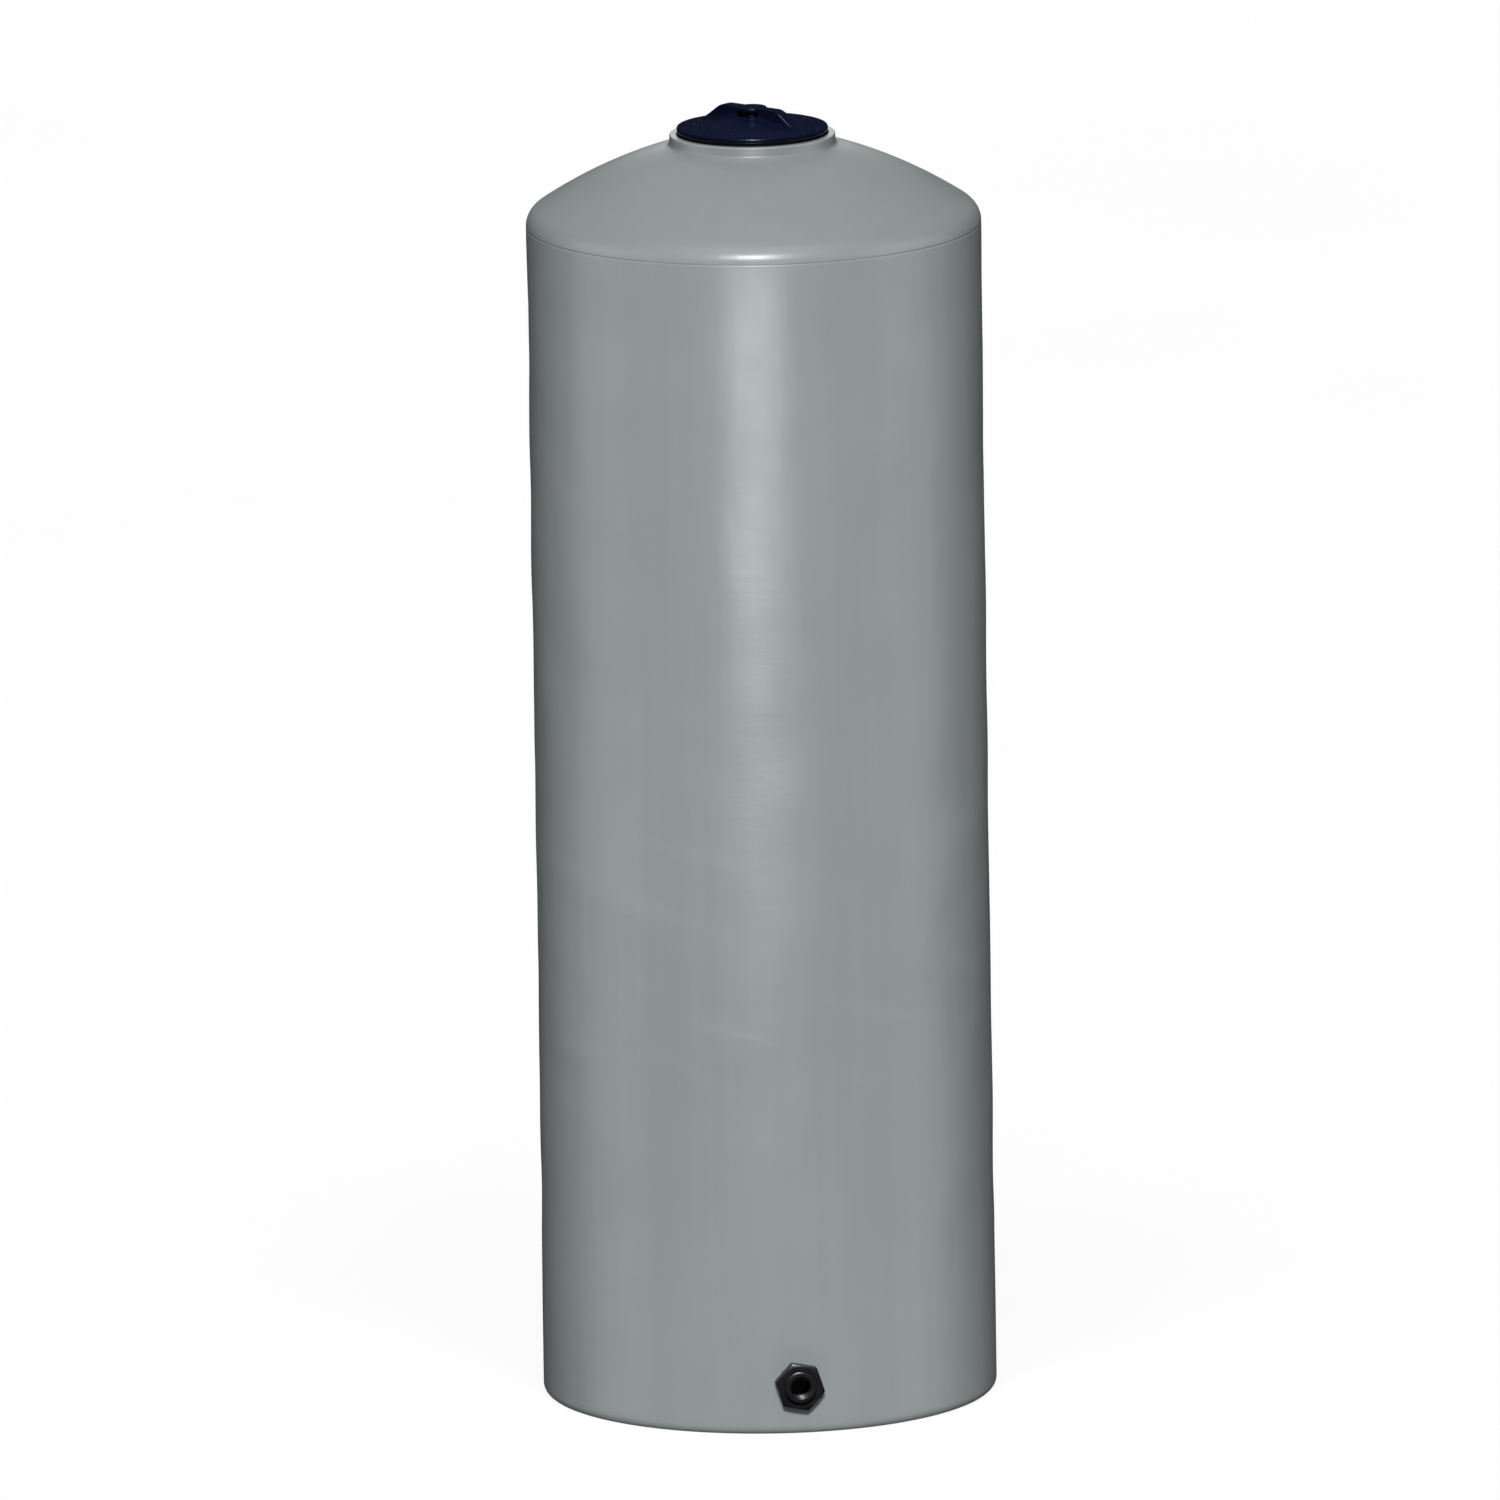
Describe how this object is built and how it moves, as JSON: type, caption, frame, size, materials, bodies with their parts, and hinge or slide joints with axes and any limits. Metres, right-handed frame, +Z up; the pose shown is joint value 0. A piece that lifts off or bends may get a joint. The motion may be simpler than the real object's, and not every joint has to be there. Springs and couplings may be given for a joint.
{
  "type": "storage tank",
  "caption": "Upright cylindrical moulded water tank with domed top, screw lid with bar handle and vent cap, and a threaded hex outlet near the base.",
  "frame": {"origin": "centre of the flat base, on the surface that the tank stands on", "axes": "+Z up along the tank's axis, -Y out of the outlet's mouth at the front, +X to the right seen from the front"},
  "size_m": [0.6798, 0.7039, 1.955],
  "materials": {
    "shell_plastic": "satin mid grey polyethylene moulding",
    "lid_plastic": "semi-gloss blue-black",
    "black_moulding": "matte black",
    "fitting_plastic": "satin black",
    "seal_rubber": "matte black rubber",
    "screen_metal": "fine stainless screen"
  },
  "bodies": {
    "tank": {"tank_shell": "shell_plastic", "neck_insert": "black_moulding", "outlet_body": "fitting_plastic", "outlet_nut": "fitting_plastic", "outlet_inner_gasket": "seal_rubber", "outlet_outer_washer": "seal_rubber", "outlet_slip_washer": "fitting_plastic"},
    "lift_stage": {"lid_gasket": "seal_rubber"},
    "vent": {"vent_cap": "lid_plastic", "vent_screen": "screen_metal", "vent_retainer": "black_moulding"},
    "lid": {"lid": "lid_plastic"}
  },
  "joints": [
    {"name": "lid_lift", "type": "slide", "parent": "tank", "child": "lift_stage", "axis": [0, 0, 1], "range_m": [0, 0.25]},
    {"name": "lid_rise", "type": "slide", "parent": "lift_stage", "child": "vent", "axis": [0, 0, 1], "range_m": [0, 0.016]},
    {"name": "lid_turn", "type": "hinge", "parent": "vent", "child": "lid", "pos_m": [0, 0, 1.92], "axis": [0, 0, 1], "range_deg": [0, 720]}
  ],
  "couplings": [
    {"joint": "lid_rise", "follows": "lid_turn", "m_per_rad": 0.0012732}
  ]
}
